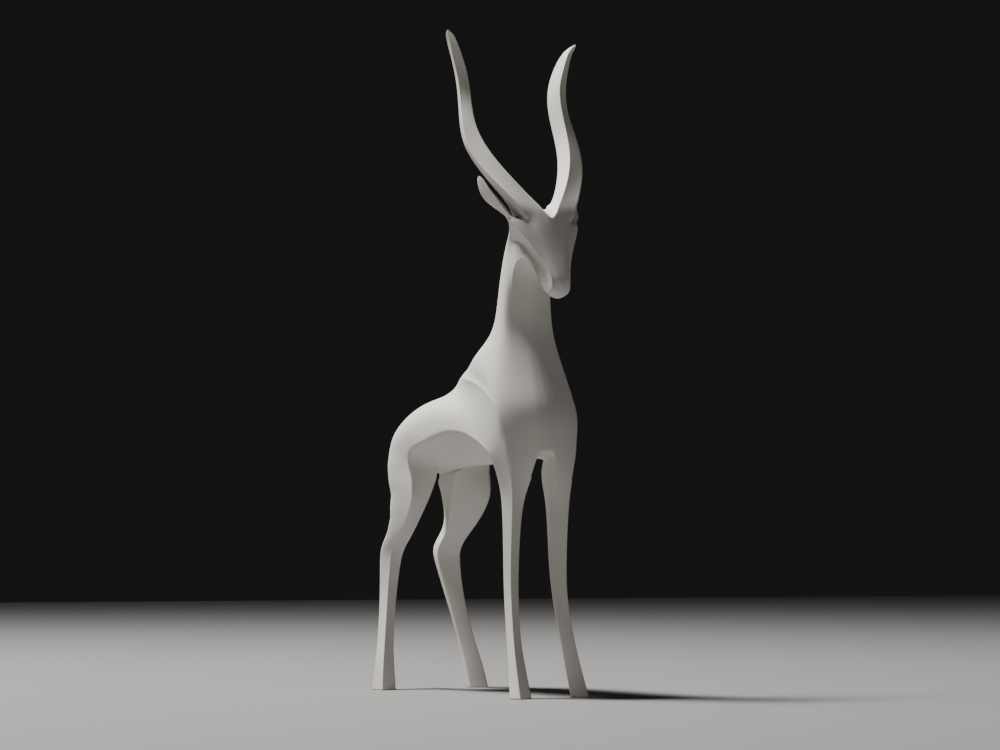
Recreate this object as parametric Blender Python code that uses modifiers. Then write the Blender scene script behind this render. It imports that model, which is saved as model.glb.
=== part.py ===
"""A stylised impala figurine, cast in one piece and parted here by thin cuts into its named parts.

Half of the body is a coarse cage of sections, each drawn as (forward, out, up) in grid units; Mirror
and Subdivision Surface turn it into the smooth body with its crisp edges. The animal looks along -Y,
+Z is up, and the origin is on the floor under the middle of its bounding box.
"""
import bmesh
import bpy
from mathutils import Vector

HEIGHT = 0.300              # from the soles to the horn tips
GRID = HEIGHT / 651.0       # the sections' unit
MIDDLE = -9.82              # forward place of the bounding box's middle, on the grid
CUT = 0.0003                # width of the cut between two named parts
SMOOTHNESS = 2              # subdivision steps of the body
KEEP = 0.52                 # share of the faces left after thinning the flat stretches
OFF_WHITE = (0.66, 0.64, 0.60, 1.0)
ROUGHNESS = 0.6


def mix(a, b, t):
    """The point a share t of the way from a to b."""
    return tuple(p + (q - p) * t for p, q in zip(a, b))


def trunk_ring(top, high, side, edge, belly, keel, spread=0.55, hump=0.11, share=0.55):
    """Half a section of the trunk, from the spine over the flank to the keel."""
    spine = (top[0], 0.0, top[1])
    shoulder = mix(spine, high, share)
    shoulder = (shoulder[0], high[1] * spread, shoulder[2] + hump * (spine[2] - high[2]))
    middle = (keel[0], 0.0, keel[1])
    return [spine, shoulder, high, side, edge, belly, mix(belly, middle, 0.5), middle]


def neck_ring(nape, wide, front, edge, throat):
    """Half a section of the neck, from the nape over its widest side to the throat."""
    back = (nape[0], 0.0, nape[1])
    near = mix(back, wide, 0.10)
    far = mix(back, wide, 0.48)
    middle = (throat[0], 0.0, throat[1])
    return [back, (near[0], 0.55 * wide[1], near[2]), (far[0], 0.92 * wide[1], far[2]),
            wide, front, edge, mix(edge, middle, 0.55), middle]


def level(up, *corners):
    """A limb's section at one height: its corners are (forward, out) pairs."""
    return [(forward, out, up) for forward, out in corners]


TRUNK = [   # spine, shoulder of the section, flank, flank edge, belly edge, keel: rump to chest
    trunk_ring((-116, 284), (-116.5, 33, 275), (-127, 49.5, 259), (-137.5, 53.5, 238), (-133, 13, 220),
               (-131, 224)),
    trunk_ring((-97, 295), (-94, 37.5, 285.5), (-91, 53, 267), (-80, 48.5, 244), (-81, 10, 224), (-92, 228)),
    trunk_ring((-80, 300), (-65, 38, 291), (-50, 52, 279), (-38, 52, 251), (-42, 31, 232), (-42, 227)),
    trunk_ring((-66, 302), (-42, 38, 293), (-14, 51, 281), (8, 51, 262), (2, 32, 233), (2, 226)),
    trunk_ring((-57, 305), (-22, 38, 297), (22, 50, 281), (52, 51, 254), (38, 31, 234), (36, 227)),
    trunk_ring((-48, 315), (4, 37, 300), (56, 49, 277), (85, 49, 237), (64, 22, 231), (60, 230), 0.72),
    trunk_ring((-31, 321), (52, 46.5, 307), (94, 48.5, 287), (103.5, 42, 247), (112, 8.5, 235), (113, 235),
               0.8, -0.16, 0.31),
]
NECK = [    # the base's whole half section, then nape, widest point, front, throat edge and throat
    [(-5, 0, 327.5), (1, 25, 325), (31, 42.3, 317.5), (79, 47, 305.5),
     (97, 44.5, 277), (115, 15, 271), (116.6, 6.8, 270.4), (118, 0, 270)],
    neck_ring((16.5, 338), (60, 46, 323), (90, 44.5, 299), (103.5, 12, 303), (105, 302)),
    neck_ring((41, 354), (67, 32.5, 347), (82, 30.5, 344), (89.5, 8, 345), (91, 344)),
    neck_ring((47.5, 376), (69, 28.5, 369), (79, 27.5, 367), (84, 13.5, 364), (87, 362)),
    neck_ring((51.5, 405), (68, 26, 400), (77, 26, 398), (83, 22.5, 396), (89, 394)),
]
HEAD = [    # crown, inside and outside of the horn, mask edge, undercut, jaw edge, under the jaw, middle
    [(57, 0, 450), (59, 12, 449), (66, 20, 443), (74, 23, 434),
     (80, 23, 426), (85, 22.5, 415), (89, 12, 409), (91, 0, 408)],
    [(95, 0, 480), (95, 9.5, 480), (84, 21, 463), (79, 24, 453),
     (80, 19, 445), (98, 23, 425), (102, 11, 417), (102, 0, 416)],
    [(124.3, 0, 458.2), (118.5, 7.6, 470), (120, 23.5, 458), (110, 38, 457),
     (91, 19, 442), (112, 21, 420), (112, 10, 412), (111, 0, 411)],
    [(127, 0, 442), (127, 9, 442), (126, 17, 441.5), (120.5, 27, 440.5),
     (106, 16, 431), (121, 17.5, 409), (117, 9, 401), (115, 0, 400)],
    [(134.5, 0, 420), (134.5, 5, 420), (133.8, 10, 419.5), (131, 14.8, 418),
     (120, 13.5, 414), (124.5, 14, 394.5), (122, 8, 391), (120, 0, 390)],
    [(142, 0, 400), (142, 4, 399.5), (141, 7.3, 399), (140, 9.6, 398),
     (139, 10.5, 390.5), (130.5, 10.5, 385.5), (128, 6, 384), (127, 0, 384)],
]
RUMP_LINE = [(-143, 0, 273), (-152, 0, 256), (-151, 0, 238), (-144, 0, 231)]
MUZZLE_LINE = [(142.5, 0, 392), (141.3, 0, 385.5), (137, 0, 380.5), (131.5, 0, 380.5)]
FORELEG = [     # front outer, front inner, rear inner and rear outer corners, from the chest down
    level(210, (103.2, 33.8), (104, 12.5), (67, 19.5), (84.2, 38)),
    level(186, (100.8, 31.4), (91.5, 16.5), (72.5, 23.5), (86.8, 34.8)),
    level(132, (96.2, 31.4), (86.9, 16.8), (76.6, 22.7), (86.6, 34)),
    level(94, (97.2, 31.4), (90.3, 19.5), (80.4, 25), (88, 34)),
    level(56, (105.9, 34.1), (99.6, 22.5), (89.9, 27.9), (97.1, 36.5)),
    level(27, (115.6, 36.3), (109.2, 22.2), (99.2, 28.2), (107, 39.8)),
    level(0, (126.3, 38.5), (119.5, 21.9), (107.6, 30), (117.3, 45)),
]
HINDLEG = [     # the same corners, from the thigh over the hock to the sole
    level(222, (-79.5, 46.5), (-83, 10), (-136, 12.5), (-138.5, 55)),
    level(199, (-69, 45.5), (-95, 12), (-127.5, 17.5), (-128, 48.5)),
    level(172, (-93, 42.5), (-112, 17.5), (-137, 27.5), (-125.5, 44.5)),
    level(158, (-113, 40.6), (-122, 19.5), (-152, 27.5), (-134, 44.3)),
    level(145, (-127, 39.5), (-140.5, 19), (-166, 26.8), (-141.3, 47.4)),
    level(130, (-131.3, 40.8), (-144, 22), (-158, 26.6), (-141.8, 47.8)),
    level(91.5, (-128.9, 45.3), (-136.6, 31.2), (-147.9, 34.4), (-137.7, 49.6)),
    level(50.7, (-120.5, 52.5), (-127.5, 38.7), (-136.5, 42.4), (-129.2, 56.6)),
    level(28, (-113.2, 58.1), (-120.6, 41.4), (-130.9, 43.9), (-122.6, 62.8)),
    level(0, (-107.2, 62.3), (-112.4, 43.4), (-129.2, 47.1), (-124, 66.1)),
]
HORN = [        # inner front, outer front, outer back and inner back corners, from the skull up
    level(478, (113, 13.8), (110.5, 36.1), (98.5, 37), (88, 18.5)),
    level(495, (103, 26.8), (97.8, 48.1), (86.5, 47.5), (83, 28)),
    level(515, (90.2, 39.5), (82, 61), (70, 54.8), (70, 38.7)),
    level(535, (76.6, 48.7), (70.2, 66.4), (57.2, 61.4), (57, 46.6)),
    level(557, (64.2, 52.8), (60.5, 65.7), (46.5, 60.1), (44.3, 49.6)),
    level(580, (56.2, 52.2), (50.7, 61.7), (39.2, 57.2), (36.7, 47.8)),
    level(605, (50.4, 51.6), (46.9, 61.6), (33.2, 56.1), (30.2, 50)),
    level(628, (49.8, 59.2), (44.5, 67.4), (32.1, 61.6), (30, 58.2)),
    level(645, (47.8, 65.6), (44.6, 71.6), (36.9, 70), (37, 65)),
    level(652, (50.2, 73.4), (49.4, 76.4), (45.4, 75.6), (45.8, 72.8)),
]
EAR = [         # ridge, lower edge, back and upper back, from the skull out
    [(109.5, 42.5, 461), (103, 38.5, 461.5), (86, 29, 462), (99, 30, 465)],
    [(97, 43.5, 475), (80, 37.5, 472.5), (76, 34, 478), (89.5, 37, 478)],
    [(85, 49.5, 492), (68.5, 45.5, 482), (65, 43.5, 489.5), (78, 46, 493.5)],
    [(73.5, 53.5, 510), (61, 50.5, 498), (60.5, 50, 503.5), (69, 52.5, 511)],
]
CREST, HORN_IN, HORN_OUT, MASK, UNDER, JAW = range(6)    # places along a half section


class Cage:
    """Half of the body as points, faces and crease weights, on the grid."""

    def __init__(self):
        self.points, self.faces, self.creases = [], [], {}

    def ring(self, points):
        start = len(self.points)
        self.points.extend(points)
        return list(range(start, len(self.points)))

    def strip(self, one, two, holes=()):
        """Faces between two sections, apart from the holes where a limb grows."""
        for k in range(len(one) - 1):
            if k not in holes:
                self.faces.append((one[k], one[k + 1], two[k + 1], two[k]))

    def cap(self, end, line):
        """Close a half section with a line of points in the middle plane."""
        self.faces.append((end[2], end[1], end[0], line[0]))
        self.faces += [(end[k + 3], end[k + 2], line[k], line[k + 1]) for k in range(3)]
        self.faces.append((end[6], end[5], line[3], end[7]))

    def limb(self, root, sections):
        """Grow a closed limb from a hole of four points; gives its four long edges."""
        rails = [[point] for point in root]
        last = root
        for section in sections:
            here = self.ring(section)
            for k in range(4):
                n = (k + 1) % 4
                self.faces.append((last[k], last[n], here[n], here[k]))
                rails[k].append(here[k])
            last = here
        self.faces.append(tuple(last))
        return rails

    def crease(self, path, *weights):
        """Sharpen the edges along a path; the last weight goes on to its end."""
        for k, pair in enumerate(zip(path, path[1:])):
            self.creases[frozenset(pair)] = weights[min(k, len(weights) - 1)]


def body_cage():
    """The whole half body: trunk, neck and head as one loft, then the legs, the horn and the ear."""
    cage = Cage()
    trunk, neck, head = [[cage.ring(r) for r in part] for part in (TRUNK, NECK, HEAD)]
    rump, loin, flank, chest = trunk[0], trunk[1], trunk[-2], trunk[-1]
    occiput, brow = head[1], head[2]
    loft = trunk + neck + head
    for one, two in zip(loft, loft[1:]):
        holes = {id(rump): (4,), id(flank): (4,), id(occiput): (HORN_IN, HORN_OUT)}.get(id(one), ())
        cage.strip(one, two, holes)
    cage.cap(rump, cage.ring(RUMP_LINE))
    muzzle = head[-1]
    cage.cap(muzzle, cage.ring(MUZZLE_LINE))
    fore = cage.limb([chest[4], chest[5], flank[5], flank[4]], FORELEG)
    hind = cage.limb([loin[4], loin[5], rump[5], rump[4]], HINDLEG)
    horn = cage.limb([brow[HORN_IN], brow[HORN_OUT], occiput[HORN_OUT], occiput[HORN_IN]], HORN)
    ear = cage.limb([brow[HORN_OUT], brow[MASK], occiput[MASK], occiput[HORN_OUT]], EAR)

    cage.crease([r[4] for r in trunk[1:-1]], 0.7, 0.5, 0.95, 1.0)      # flank's lower edge
    cage.crease(chest[:5], 0.0, 0.8, 1.0, 0.3)                         # shoulder
    cage.crease(chest[5:], 0.9)                                         # arch between the forelegs
    for rail, weights in zip(fore, [(0.5, 1.0), (0.9, 1.0), (0.6,), (1.0,)]):
        cage.crease(rail, *weights)
    for rail, weights in zip(hind, [(1.0,), (0.5, 0.8, 0.9), (0.3, 0.5, 0.9), (0.0, 0.2, 0.4, 0.9)]):
        cage.crease(rail, *weights)
    for rails in (fore, hind):
        cage.crease([rail[-1] for rail in rails] + [rails[0][-1]], 1.0)     # sole
    for rail, weights in zip(horn, [(1.0,), (1.0,), (0.6, 1.0), (1.0,)]):
        cage.crease(rail, *weights)
    for rail, weights in zip(ear, [(0.0, 0.6, 1.0), (1.0,), (0.0,), (0.0, 0.6)]):
        cage.crease(rail, *weights)
    cage.crease([r[JAW] for r in neck + head], 0.0, 0.2, 0.7, 1.0)
    cage.crease([r[MASK] for r in head[2:]], 1.0)
    cage.crease(muzzle[MASK:JAW + 1], 0.8)                              # lower end of the jaw
    cage.crease([r[UNDER] for r in head[1:4]], 0.9)
    cage.crease([brow[CREST], brow[HORN_IN]], 1.0)                      # front of the notch
    return cage


def placed(point):
    """A point of the grid in metres."""
    forward, out, up = point
    return Vector((out, MIDDLE - forward, up)) * GRID


def smooth_body(name, steps):
    """The body as one object: the half cage with its creases, mirrored and smoothed."""
    cage = body_cage()
    mesh = bpy.data.meshes.new(name)
    work = bmesh.new()
    points = [work.verts.new(placed(p)) for p in cage.points]
    for face in cage.faces:
        work.faces.new([points[k] for k in face])
    weight = work.edges.layers.float.new("crease_edge")
    for pair, value in cage.creases.items():
        work.edges.get([points[k] for k in pair])[weight] = value
    bmesh.ops.recalc_face_normals(work, faces=work.faces)
    work.to_mesh(mesh)
    work.free()
    body = bpy.data.objects.new(name, mesh)
    bpy.context.scene.collection.objects.link(body)
    mirror = body.modifiers.new("Other half", "MIRROR")
    mirror.merge_threshold = 0.00001
    mirror.use_clip = True
    smooth = body.modifiers.new("Smooth", "SUBSURF")
    smooth.levels = smooth.render_levels = steps
    return body


def baked(source, name):
    """A plain mesh copy of an object as its modifiers show it, without the object itself."""
    view = bpy.context.evaluated_depsgraph_get()
    view.update()
    mesh = bpy.data.meshes.new_from_object(source.evaluated_get(view))
    bpy.data.objects.remove(source)
    copy = bpy.data.objects.new(name, mesh)
    bpy.context.scene.collection.objects.link(copy)
    return copy


def plate(outline, collection, name):
    """A cutter as wide as the cut, whose flat outline crosses the body."""
    middle = sum(outline, Vector()) / len(outline)
    normal = (outline[2] - outline[0]).cross(outline[3] - outline[1]).normalized()
    flat = [p - normal * (p - middle).dot(normal) for p in outline]
    work = bmesh.new()
    lids = [[work.verts.new(p + normal * CUT * side) for p in flat] for side in (-0.5, 0.5)]
    work.faces.new(lids[0])
    work.faces.new(lids[1])
    for k in range(len(flat)):
        n = (k + 1) % len(flat)
        work.faces.new([lids[0][k], lids[0][n], lids[1][n], lids[1][k]])
    bmesh.ops.recalc_face_normals(work, faces=work.faces)
    mesh = bpy.data.meshes.new(name)
    work.to_mesh(mesh)
    work.free()
    cutter = bpy.data.objects.new(name, mesh)
    cutter.hide_render = True
    cutter.display_type = "WIRE"
    collection.objects.link(cutter)
    return cutter


def limb_plate(one, two, share, growth, side):
    """The outline of a cut across a limb, between two of its sections, a little wider than it."""
    outline = [placed(mix(a, b, share)) for a, b in zip(one, two)]
    middle = sum(outline, Vector()) / 4
    outline = [middle + (p - middle) * growth for p in outline]
    return [Vector((p.x * side, p.y, p.z)) for p in outline]


def wide_plate(rear, front, half_width):
    """The outline of a cut across the neck, from a point behind it to one in front of it."""
    corners = [(rear, 1), (front, 1), (front, -1), (rear, -1)]
    return [placed((forward, side * half_width, up)) for (forward, up), side in corners]


def cut_outlines():
    """Where the cast body is parted."""
    fore_root = [TRUNK[-1][4], TRUNK[-1][5], TRUNK[-2][5], TRUNK[-2][4]]
    outlines = {"neck_base": wide_plate((-12, 372), (112, 318), 60),
                "nape": wide_plate((40, 437), (97, 397), 40)}
    for side, label in ((-1, "right"), (1, "left")):
        outlines["foreleg_" + label] = limb_plate(fore_root, FORELEG[0], 0.6, 1.2, side)
        outlines["hindleg_" + label] = limb_plate(HINDLEG[0], HINDLEG[1], 0.1, 1.15, side)
        outlines["horn_" + label] = limb_plate(HORN[0], HORN[1], 0.3, 1.2, side)
        outlines["ear_" + label] = limb_plate(EAR[0], EAR[1], 0.5, 1.3, side)
    return outlines


def islands(mesh):
    """The closed bodies of a mesh, each as the set of its vertex numbers."""
    work = bmesh.new()
    work.from_mesh(mesh)
    left = set(work.verts)
    found = []
    while left:
        reached = {left.pop()}
        edge = set(reached)
        while edge:
            edge = {e.other_vert(v) for v in edge for e in v.link_edges} - reached
            reached |= edge
        left -= reached
        found.append({v.index for v in reached})
    work.free()
    return found


# A point of the grid near the middle of each part, which tells the cut bodies apart.
CENTRES = {
    "trunk": (-10, 0, 270), "neck": (65, 0, 375), "head": (110, 0, 430),
    "foreleg_left": (98, 30, 100), "hindleg_left": (-128, 40, 110),
    "horn_left": (55, 58, 570), "ear_left": (78, 46, 487),
}


def part_names():
    """Every part's name with its middle in metres, both sides of the pairs."""
    names = {}
    for name, centre in CENTRES.items():
        names[name] = placed(centre)
        if name.endswith("_left"):
            names[name[:-4] + "right"] = placed((centre[0], -centre[1], centre[2]))
    return names


def matte_white(name):
    """The cast body's colour and sheen."""
    material = bpy.data.materials.new("cast_" + name)
    material.use_nodes = True
    shader = material.node_tree.nodes["Principled BSDF"]
    shader.inputs["Base Color"].default_value = OFF_WHITE
    shader.inputs["Roughness"].default_value = ROUGHNESS
    shader.inputs["Metallic"].default_value = 0.0
    return material


def named_part(whole, vertices, name, collection, holder):
    """One closed body of the cut cast, as an object with its origin at its own middle."""
    work = bmesh.new()
    work.from_mesh(whole.data)
    work.verts.ensure_lookup_table()
    bmesh.ops.delete(work, geom=[v for v in work.verts if v.index not in vertices], context="VERTS")
    middle = sum((v.co for v in work.verts), Vector()) / len(work.verts)
    bmesh.ops.translate(work, verts=work.verts, vec=-middle)
    bmesh.ops.triangulate(work, faces=work.faces)
    mesh = bpy.data.meshes.new(name)
    work.to_mesh(mesh)
    work.free()
    mesh.materials.clear()
    mesh.materials.append(matte_white(name))
    part = bpy.data.objects.new(name, mesh)
    part.location = middle
    part.parent = holder
    collection.objects.link(part)


def main():
    for old in list(bpy.data.objects):
        bpy.data.objects.remove(old)
    figurine = bpy.data.collections.new("impala_figurine")
    cutters = bpy.data.collections.new("cutters")
    for collection in (figurine, cutters):
        bpy.context.scene.collection.children.link(collection)

    body = smooth_body("cast", SMOOTHNESS)
    thin = body.modifiers.new("Thin out", "DECIMATE")
    thin.ratio = KEEP
    thin.use_symmetry = True
    thin.symmetry_axis = "X"
    cast = baked(body, "cast")
    for name, outline in cut_outlines().items():
        plate(outline, cutters, "cut_" + name)
    cuts = cast.modifiers.new("Thin cuts", "BOOLEAN")
    cuts.operation = "DIFFERENCE"
    cuts.solver = "EXACT"
    cuts.operand_type = "COLLECTION"
    cuts.collection = cutters
    cast = baked(cast, "cast")

    holder = bpy.data.objects.new("impala", None)
    figurine.objects.link(holder)
    names = part_names()
    for vertices in islands(cast.data):
        middle = sum((cast.data.vertices[k].co for k in vertices), Vector()) / len(vertices)
        nearest = min(names, key=lambda n: (names[n] - middle).length)
        named_part(cast, vertices, nearest, figurine, holder)
        del names[nearest]
    bpy.data.objects.remove(cast)


main()
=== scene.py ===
"""The stylised impala figurine as one seamless matte off-white casting, on a plain pale floor.

The body is the same coarse cage of sections as in the solids, smoothed more finely, so that one skin
stands for all of its named parts. Section points are (forward, out, up) on the grid.
"""

from math import cos, radians, sin

import bmesh
import bpy
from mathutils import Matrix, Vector


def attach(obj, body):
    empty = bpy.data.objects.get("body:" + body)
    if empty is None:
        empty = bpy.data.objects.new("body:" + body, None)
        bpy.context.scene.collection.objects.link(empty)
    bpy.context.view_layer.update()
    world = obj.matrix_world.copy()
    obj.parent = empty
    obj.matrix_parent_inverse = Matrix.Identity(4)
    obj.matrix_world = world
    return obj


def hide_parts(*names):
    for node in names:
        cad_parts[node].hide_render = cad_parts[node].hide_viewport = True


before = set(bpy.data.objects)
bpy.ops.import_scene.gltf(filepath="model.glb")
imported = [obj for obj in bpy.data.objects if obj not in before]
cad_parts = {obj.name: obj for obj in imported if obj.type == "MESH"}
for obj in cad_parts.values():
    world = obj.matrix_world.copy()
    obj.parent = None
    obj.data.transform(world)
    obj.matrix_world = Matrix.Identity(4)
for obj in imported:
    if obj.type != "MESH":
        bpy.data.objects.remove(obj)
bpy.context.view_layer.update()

HEIGHT = 0.300              # from the soles to the horn tips
GRID = HEIGHT / 651.0       # the sections' unit
MIDDLE = -9.82              # forward place of the bounding box's middle, on the grid
SMOOTHNESS = 4              # subdivision steps of the skin
MERGE = 0.00001             # metres within which the two mirrored halves join

# The neck's two points between the nape and the widest point: shares of the way to it and of its width.
NAPE_ARC = ((0.10, 0.55), (0.48, 0.92))
THROAT_SHARE = 0.55         # where the throat's flat bends, from its edge to the middle

# The casting's faint clouding and its fine dry grain; the grain's depth is in metres.
CLOUD_SCALE, CLOUD_DETAIL = 45.0, 3.0
GRAIN_SCALE, GRAIN_DETAIL, GRAIN_ROUGHNESS = 1400.0, 2.0, 0.6
GRAIN_STRENGTH, GRAIN_DEPTH = 0.12, 0.0002
CASTING_SHADES = ((0.30, (0.700, 0.672, 0.625)), (0.70, (0.745, 0.722, 0.680)))     # (cloud, colour)
CASTING_SHEEN = (0.52, 0.66)        # least and greatest surface roughness

FLOOR_SIZE = 6.0
FLOOR_COLOUR, FLOOR_ROUGHNESS = (0.24, 0.237, 0.234), 0.8
LIGHTS = {      # azimuth and elevation in degrees, distance and size in metres, power and colour
    "key": (132.0, 66.0, 1.6, 0.35, 72.0, (1.0, 0.985, 0.96)),
    "fill": (15.0, 30.0, 1.6, 1.0, 0.6, (1.0, 0.97, 0.94)),
}
ROOM_COLOUR, ROOM_STRENGTH = (1.0, 0.99, 0.98), 0.01

SENSOR = 36.0                       # the camera sensor's width in millimetres
LENS = 95.04                        # its focal length in millimetres
EYE = (2281.0, -1329.2, 126.2)      # forward, left and up of the origin, on the grid
HEADING = 30.48                     # degrees the view turns from straight back towards its left
PITCH = 4.14                        # degrees the view looks up


def mix(a, b, t):
    """The point a share t of the way from a to b."""
    return tuple(p + (q - p) * t for p, q in zip(a, b))


def trunk_ring(top, high, side, edge, belly, keel, spread=0.55, hump=0.11, share=0.55):
    """Half a section of the trunk, from the spine over the flank to the keel.

    Its shoulder point lies a share of the way from the spine to the high point, at a spread of the
    high point's width, and is raised by a hump, a share of the drop between the two.
    """
    spine = (top[0], 0.0, top[1])
    shoulder = mix(spine, high, share)
    shoulder = (shoulder[0], high[1] * spread, shoulder[2] + hump * (spine[2] - high[2]))
    middle = (keel[0], 0.0, keel[1])
    return [spine, shoulder, high, side, edge, belly, mix(belly, middle, 0.5), middle]


def neck_ring(nape, wide, front, edge, throat):
    """Half a section of the neck, from the nape over its widest side to the throat."""
    back = (nape[0], 0.0, nape[1])
    arc = []
    for way, width in NAPE_ARC:
        forward, _, up = mix(back, wide, way)
        arc.append((forward, width * wide[1], up))
    middle = (throat[0], 0.0, throat[1])
    return [back, *arc, wide, front, edge, mix(edge, middle, THROAT_SHARE), middle]


def level(up, *corners):
    """A limb's section at one height: its corners are (forward, out) pairs."""
    return [(forward, out, up) for forward, out in corners]


TRUNK = [   # spine, shoulder of the section, flank, flank edge, belly edge, keel: rump to chest
    trunk_ring((-116, 284), (-116.5, 33, 275), (-127, 49.5, 259), (-137.5, 53.5, 238), (-133, 13, 220),
               (-131, 224)),
    trunk_ring((-97, 295), (-94, 37.5, 285.5), (-91, 53, 267), (-80, 48.5, 244), (-81, 10, 224), (-92, 228)),
    trunk_ring((-80, 300), (-65, 38, 291), (-50, 52, 279), (-38, 52, 251), (-42, 31, 232), (-42, 227)),
    trunk_ring((-66, 302), (-42, 38, 293), (-14, 51, 281), (8, 51, 262), (2, 32, 233), (2, 226)),
    trunk_ring((-57, 305), (-22, 38, 297), (22, 50, 281), (52, 51, 254), (38, 31, 234), (36, 227)),
    trunk_ring((-48, 315), (4, 37, 300), (56, 49, 277), (85, 49, 237), (64, 22, 231), (60, 230), 0.72),
    trunk_ring((-31, 321), (52, 46.5, 307), (94, 48.5, 287), (103.5, 42, 247), (112, 8.5, 235), (113, 235),
               0.8, -0.16, 0.31),
]
NECK = [    # the base's whole half section, then nape, widest point, front, throat edge and throat
    [(-5, 0, 327.5), (1, 25, 325), (31, 42.3, 317.5), (79, 47, 305.5),
     (97, 44.5, 277), (115, 15, 271), (116.6, 6.8, 270.4), (118, 0, 270)],
    neck_ring((16.5, 338), (60, 46, 323), (90, 44.5, 299), (103.5, 12, 303), (105, 302)),
    neck_ring((41, 354), (67, 32.5, 347), (82, 30.5, 344), (89.5, 8, 345), (91, 344)),
    neck_ring((47.5, 376), (69, 28.5, 369), (79, 27.5, 367), (84, 13.5, 364), (87, 362)),
    neck_ring((51.5, 405), (68, 26, 400), (77, 26, 398), (83, 22.5, 396), (89, 394)),
]
HEAD = [    # crown, inside and outside of the horn, mask edge, undercut, jaw edge, under the jaw, middle
    [(57, 0, 450), (59, 12, 449), (66, 20, 443), (74, 23, 434),
     (80, 23, 426), (85, 22.5, 415), (89, 12, 409), (91, 0, 408)],
    [(95, 0, 480), (95, 9.5, 480), (84, 21, 463), (79, 24, 453),
     (80, 19, 445), (98, 23, 425), (102, 11, 417), (102, 0, 416)],
    [(124.3, 0, 458.2), (118.5, 7.6, 470), (120, 23.5, 458), (110, 38, 457),
     (91, 19, 442), (112, 21, 420), (112, 10, 412), (111, 0, 411)],
    [(127, 0, 442), (127, 9, 442), (126, 17, 441.5), (120.5, 27, 440.5),
     (106, 16, 431), (121, 17.5, 409), (117, 9, 401), (115, 0, 400)],
    [(134.5, 0, 420), (134.5, 5, 420), (133.8, 10, 419.5), (131, 14.8, 418),
     (120, 13.5, 414), (124.5, 14, 394.5), (122, 8, 391), (120, 0, 390)],
    [(142, 0, 400), (142, 4, 399.5), (141, 7.3, 399), (140, 9.6, 398),
     (139, 10.5, 390.5), (130.5, 10.5, 385.5), (128, 6, 384), (127, 0, 384)],
]
RUMP_LINE = [(-143, 0, 273), (-152, 0, 256), (-151, 0, 238), (-144, 0, 231)]
MUZZLE_LINE = [(142.5, 0, 392), (141.3, 0, 385.5), (137, 0, 380.5), (131.5, 0, 380.5)]
FORELEG = [     # front outer, front inner, rear inner and rear outer corners, from the chest down
    level(210, (103.2, 33.8), (104, 12.5), (67, 19.5), (84.2, 38)),
    level(186, (100.8, 31.4), (91.5, 16.5), (72.5, 23.5), (86.8, 34.8)),
    level(132, (96.2, 31.4), (86.9, 16.8), (76.6, 22.7), (86.6, 34)),
    level(94, (97.2, 31.4), (90.3, 19.5), (80.4, 25), (88, 34)),
    level(56, (105.9, 34.1), (99.6, 22.5), (89.9, 27.9), (97.1, 36.5)),
    level(27, (115.6, 36.3), (109.2, 22.2), (99.2, 28.2), (107, 39.8)),
    level(0, (126.3, 38.5), (119.5, 21.9), (107.6, 30), (117.3, 45)),
]
HINDLEG = [     # the same corners, from the thigh over the hock to the sole
    level(222, (-79.5, 46.5), (-83, 10), (-136, 12.5), (-138.5, 55)),
    level(199, (-69, 45.5), (-95, 12), (-127.5, 17.5), (-128, 48.5)),
    level(172, (-93, 42.5), (-112, 17.5), (-137, 27.5), (-125.5, 44.5)),
    level(158, (-113, 40.6), (-122, 19.5), (-152, 27.5), (-134, 44.3)),
    level(145, (-127, 39.5), (-140.5, 19), (-166, 26.8), (-141.3, 47.4)),
    level(130, (-131.3, 40.8), (-144, 22), (-158, 26.6), (-141.8, 47.8)),
    level(91.5, (-128.9, 45.3), (-136.6, 31.2), (-147.9, 34.4), (-137.7, 49.6)),
    level(50.7, (-120.5, 52.5), (-127.5, 38.7), (-136.5, 42.4), (-129.2, 56.6)),
    level(28, (-113.2, 58.1), (-120.6, 41.4), (-130.9, 43.9), (-122.6, 62.8)),
    level(0, (-107.2, 62.3), (-112.4, 43.4), (-129.2, 47.1), (-124, 66.1)),
]
HORN = [        # inner front, outer front, outer back and inner back corners, from the skull up
    level(478, (113, 13.8), (110.5, 36.1), (98.5, 37), (88, 18.5)),
    level(495, (103, 26.8), (97.8, 48.1), (86.5, 47.5), (83, 28)),
    level(515, (90.2, 39.5), (82, 61), (70, 54.8), (70, 38.7)),
    level(535, (76.6, 48.7), (70.2, 66.4), (57.2, 61.4), (57, 46.6)),
    level(557, (64.2, 52.8), (60.5, 65.7), (46.5, 60.1), (44.3, 49.6)),
    level(580, (56.2, 52.2), (50.7, 61.7), (39.2, 57.2), (36.7, 47.8)),
    level(605, (50.4, 51.6), (46.9, 61.6), (33.2, 56.1), (30.2, 50)),
    level(628, (49.8, 59.2), (44.5, 67.4), (32.1, 61.6), (30, 58.2)),
    level(645, (47.8, 65.6), (44.6, 71.6), (36.9, 70), (37, 65)),
    level(652, (50.2, 73.4), (49.4, 76.4), (45.4, 75.6), (45.8, 72.8)),
]
EAR = [         # ridge, lower edge, back and upper back, from the skull out
    [(109.5, 42.5, 461), (103, 38.5, 461.5), (86, 29, 462), (99, 30, 465)],
    [(97, 43.5, 475), (80, 37.5, 472.5), (76, 34, 478), (89.5, 37, 478)],
    [(85, 49.5, 492), (68.5, 45.5, 482), (65, 43.5, 489.5), (78, 46, 493.5)],
    [(73.5, 53.5, 510), (61, 50.5, 498), (60.5, 50, 503.5), (69, 52.5, 511)],
]
CREST, HORN_IN, HORN_OUT, MASK, UNDER, JAW = range(6)    # places along a half section of the head
FLANK_EDGE, BELLY_EDGE = 4, 5                            # places along one of the trunk

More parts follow.
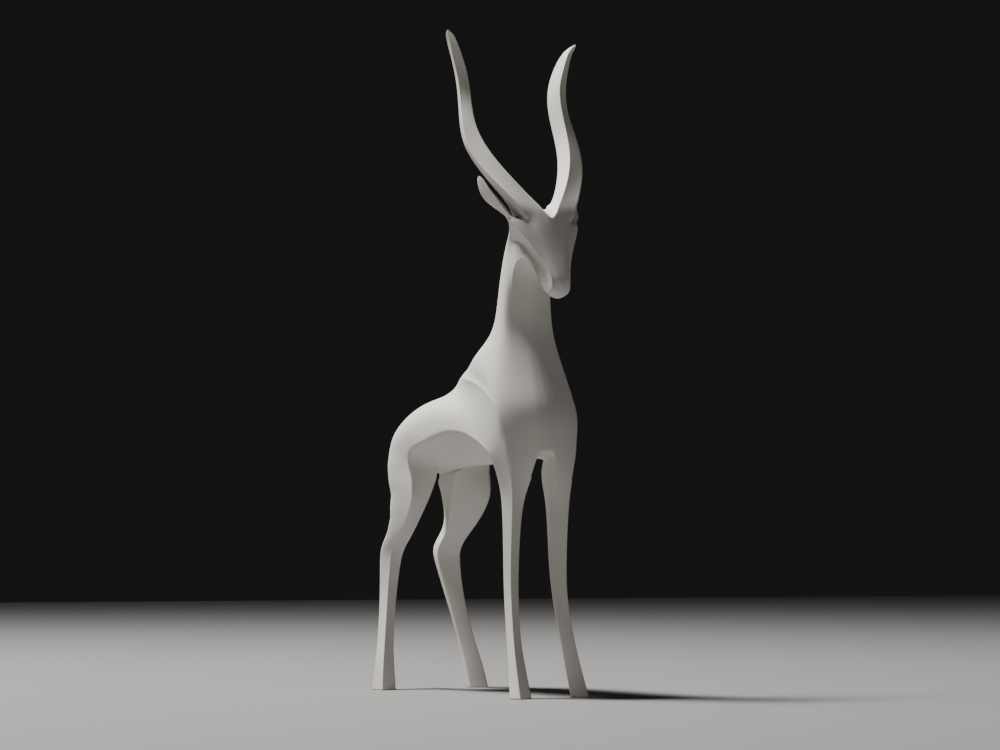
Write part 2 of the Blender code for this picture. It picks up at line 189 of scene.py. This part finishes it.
# How sharp each long edge of a limb is, from its root to its end, in the order of its corners.
FORELEG_EDGES = ((0.5, 1.0), (0.9, 1.0), (0.6,), (1.0,))
HINDLEG_EDGES = ((1.0,), (0.5, 0.8, 0.9), (0.3, 0.5, 0.9), (0.0, 0.2, 0.4, 0.9))
HORN_EDGES = ((1.0,), (1.0,), (0.6, 1.0), (1.0,))
EAR_EDGES = ((0.0, 0.6, 1.0), (1.0,), (0.0,), (0.0, 0.6))


class Cage:
    """Half of the body as points, faces and crease weights, on the grid."""

    def __init__(self):
        self.points, self.faces, self.creases = [], [], {}

    def ring(self, points):
        start = len(self.points)
        self.points.extend(points)
        return list(range(start, len(self.points)))

    def strip(self, one, two, holes=()):
        """Faces between two sections, apart from the holes where a limb grows."""
        for k in range(len(one) - 1):
            if k not in holes:
                self.faces.append((one[k], one[k + 1], two[k + 1], two[k]))

    def cap(self, end, line):
        """Close a half section with a line of points in the middle plane."""
        self.faces.append((end[2], end[1], end[0], line[0]))
        self.faces += [(end[k + 3], end[k + 2], line[k], line[k + 1]) for k in range(3)]
        self.faces.append((end[6], end[5], line[3], end[7]))

    def limb(self, root, sections):
        """Grow a closed limb from a hole of four points; gives its four long edges."""
        rails = [[point] for point in root]
        last = root
        for section in sections:
            here = self.ring(section)
            for k in range(4):
                n = (k + 1) % 4
                self.faces.append((last[k], last[n], here[n], here[k]))
                rails[k].append(here[k])
            last = here
        self.faces.append(tuple(last))
        return rails

    def crease(self, path, *weights):
        """Sharpen the edges along a path; the last weight goes on to its end."""
        for k, pair in enumerate(zip(path, path[1:])):
            self.creases[frozenset(pair)] = weights[min(k, len(weights) - 1)]


def root_between(front, rear, place):
    """The hole between two sections from which a limb grows, as its four points in corner order."""
    return [front[place], front[place + 1], rear[place + 1], rear[place]]


def body_cage():
    """The whole half body: trunk, neck and head as one loft, then the legs, the horn and the ear."""
    cage = Cage()
    trunk, neck, head = [[cage.ring(r) for r in part] for part in (TRUNK, NECK, HEAD)]
    rump, loin, flank, chest = trunk[0], trunk[1], trunk[-2], trunk[-1]
    occiput, brow, muzzle = head[1], head[2], head[-1]
    roots = {id(rump): (FLANK_EDGE,), id(flank): (FLANK_EDGE,), id(occiput): (HORN_IN, HORN_OUT)}
    loft = trunk + neck + head
    for one, two in zip(loft, loft[1:]):
        cage.strip(one, two, roots.get(id(one), ()))
    cage.cap(rump, cage.ring(RUMP_LINE))
    cage.cap(muzzle, cage.ring(MUZZLE_LINE))
    fore = cage.limb(root_between(chest, flank, FLANK_EDGE), FORELEG)
    hind = cage.limb(root_between(loin, rump, FLANK_EDGE), HINDLEG)
    horn = cage.limb(root_between(brow, occiput, HORN_IN), HORN)
    ear = cage.limb(root_between(brow, occiput, HORN_OUT), EAR)

    for rails, edges in ((fore, FORELEG_EDGES), (hind, HINDLEG_EDGES), (horn, HORN_EDGES), (ear, EAR_EDGES)):
        for rail, weights in zip(rails, edges):
            cage.crease(rail, *weights)
    for rails in (fore, hind):
        cage.crease([rail[-1] for rail in rails] + [rails[0][-1]], 1.0)     # sole
    cage.crease([r[FLANK_EDGE] for r in trunk[1:-1]], 0.7, 0.5, 0.95, 1.0)
    cage.crease(chest[:BELLY_EDGE], 0.0, 0.8, 1.0, 0.3)                     # shoulder
    cage.crease(chest[BELLY_EDGE:], 0.9)                                    # arch between the forelegs
    cage.crease([r[JAW] for r in neck + head], 0.0, 0.2, 0.7, 1.0)
    cage.crease([r[MASK] for r in head[2:]], 1.0)
    cage.crease(muzzle[MASK:JAW + 1], 0.8)                                  # lower end of the jaw
    cage.crease([r[UNDER] for r in head[1:4]], 0.9)
    cage.crease([brow[CREST], brow[HORN_IN]], 1.0)                          # front of the notch
    return cage


def placed(point):
    """A point of the grid in metres."""
    forward, out, up = point
    return Vector((out, MIDDLE - forward, up)) * GRID


def smooth_body(name, steps):
    """The body as one object: the half cage with its creases, mirrored and smoothed."""
    cage = body_cage()
    mesh = bpy.data.meshes.new(name)
    work = bmesh.new()
    points = [work.verts.new(placed(p)) for p in cage.points]
    for face in cage.faces:
        work.faces.new([points[k] for k in face])
    weight = work.edges.layers.float.new("crease_edge")
    for pair, value in cage.creases.items():
        work.edges.get([points[k] for k in pair])[weight] = value
    bmesh.ops.recalc_face_normals(work, faces=work.faces)
    work.to_mesh(mesh)
    work.free()
    body = bpy.data.objects.new(name, mesh)
    bpy.context.scene.collection.objects.link(body)
    mirror = body.modifiers.new("Other half", "MIRROR")
    mirror.merge_threshold = MERGE
    mirror.use_clip = True
    smooth = body.modifiers.new("Smooth", "SUBSURF")
    smooth.levels = smooth.render_levels = steps
    return body


def wire(tree, output, target):
    """Join a node's output to another node's input."""
    tree.links.new(output, target)


def ramp(tree, factor, stops):
    """A colour ramp over a factor, from one stop to the other; a stop is (place, colour)."""
    node = tree.nodes.new("ShaderNodeValToRGB")
    for element, (place, colour) in zip(node.color_ramp.elements, stops):
        element.position = place
        element.color = (*colour, 1.0)
    wire(tree, factor, node.inputs["Fac"])
    return node.outputs["Color"]


def noise(tree, place, scale, detail, roughness=0.5):
    """A cloudy pattern over a place in space; the scale is in clouds per metre."""
    node = tree.nodes.new("ShaderNodeTexNoise")
    node.inputs["Scale"].default_value = scale
    node.inputs["Detail"].default_value = detail
    node.inputs["Roughness"].default_value = roughness
    wire(tree, place, node.inputs["Vector"])
    return node.outputs["Fac"]


def matte_casting():
    """Warm off-white casting: faint clouding, a fine dry grain and a soft low sheen."""
    material = bpy.data.materials.new("matte_white_casting")
    material.use_nodes = True
    tree = material.node_tree
    shader = tree.nodes["Principled BSDF"]
    place = tree.nodes.new("ShaderNodeTexCoord").outputs["Object"]
    clouds = noise(tree, place, CLOUD_SCALE, CLOUD_DETAIL)
    grain = noise(tree, place, GRAIN_SCALE, GRAIN_DETAIL, GRAIN_ROUGHNESS)
    colour = ramp(tree, clouds, CASTING_SHADES)
    wire(tree, colour, shader.inputs["Base Color"])
    rough = tree.nodes.new("ShaderNodeMapRange")
    rough.inputs["To Min"].default_value, rough.inputs["To Max"].default_value = CASTING_SHEEN
    wire(tree, grain, rough.inputs["Value"])
    wire(tree, rough.outputs["Result"], shader.inputs["Roughness"])
    bump = tree.nodes.new("ShaderNodeBump")
    bump.inputs["Strength"].default_value = GRAIN_STRENGTH
    bump.inputs["Distance"].default_value = GRAIN_DEPTH
    wire(tree, grain, bump.inputs["Height"])
    wire(tree, bump.outputs["Normal"], shader.inputs["Normal"])
    return material


def plain(name, colour, roughness):
    """A material of one even colour."""
    material = bpy.data.materials.new(name)
    material.use_nodes = True
    shader = material.node_tree.nodes["Principled BSDF"]
    shader.inputs["Base Color"].default_value = (*colour, 1.0)
    shader.inputs["Roughness"].default_value = roughness
    return material


def toward(azimuth, elevation, distance):
    """A place seen from the object's middle: azimuth from its front towards its right side."""
    a, e = radians(azimuth), radians(elevation)
    return Vector((-sin(a) * cos(e), -cos(a) * cos(e), sin(e))) * distance


def soft_light(name, azimuth, elevation, distance, size, power, colour):
    """A square soft light aimed at the middle of the figurine."""
    light = bpy.data.lights.new(name, "AREA")
    light.size = size
    light.energy = power
    light.color = colour
    lamp = bpy.data.objects.new(name, light)
    aim = Vector((0.0, 0.0, 0.5 * HEIGHT))
    way = toward(azimuth, elevation, distance)
    lamp.location = aim + way
    lamp.rotation_euler = way.to_track_quat("Z", "Y").to_euler()
    bpy.context.scene.collection.objects.link(lamp)


def studio():
    """The pale floor, the soft lights and the dim surroundings."""
    bpy.ops.mesh.primitive_plane_add(size=FLOOR_SIZE, location=(0.0, 0.0, 0.0))
    floor = bpy.context.active_object
    floor.name = "floor"
    floor.data.materials.append(plain("pale_floor", FLOOR_COLOUR, FLOOR_ROUGHNESS))
    for name, light in LIGHTS.items():
        soft_light(name, *light)
    world = bpy.data.worlds.new("dim_room")
    world.use_nodes = True
    background = world.node_tree.nodes["Background"]
    background.inputs["Color"].default_value = (*ROOM_COLOUR, 1.0)
    background.inputs["Strength"].default_value = ROOM_STRENGTH
    bpy.context.scene.world = world


def camera():
    """A long lens, low over the floor and looking slightly up at the figurine's right front."""
    data = bpy.data.cameras.new("camera")
    data.sensor_width = SENSOR
    data.lens = LENS
    eye = bpy.data.objects.new("camera", data)
    forward, left, up = EYE
    eye.location = placed((forward, left, up))
    heading, pitch = radians(HEADING), radians(PITCH)
    view = Vector((sin(heading) * cos(pitch), cos(heading) * cos(pitch), sin(pitch)))
    eye.rotation_euler = (-view).to_track_quat("Z", "Y").to_euler()
    bpy.context.scene.collection.objects.link(eye)
    bpy.context.scene.camera = eye


skin = smooth_body("figurine_skin", SMOOTHNESS)
skin.data.materials.append(matte_casting())
skin.data.shade_smooth()
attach(skin, "root")
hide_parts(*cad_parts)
studio()
camera()
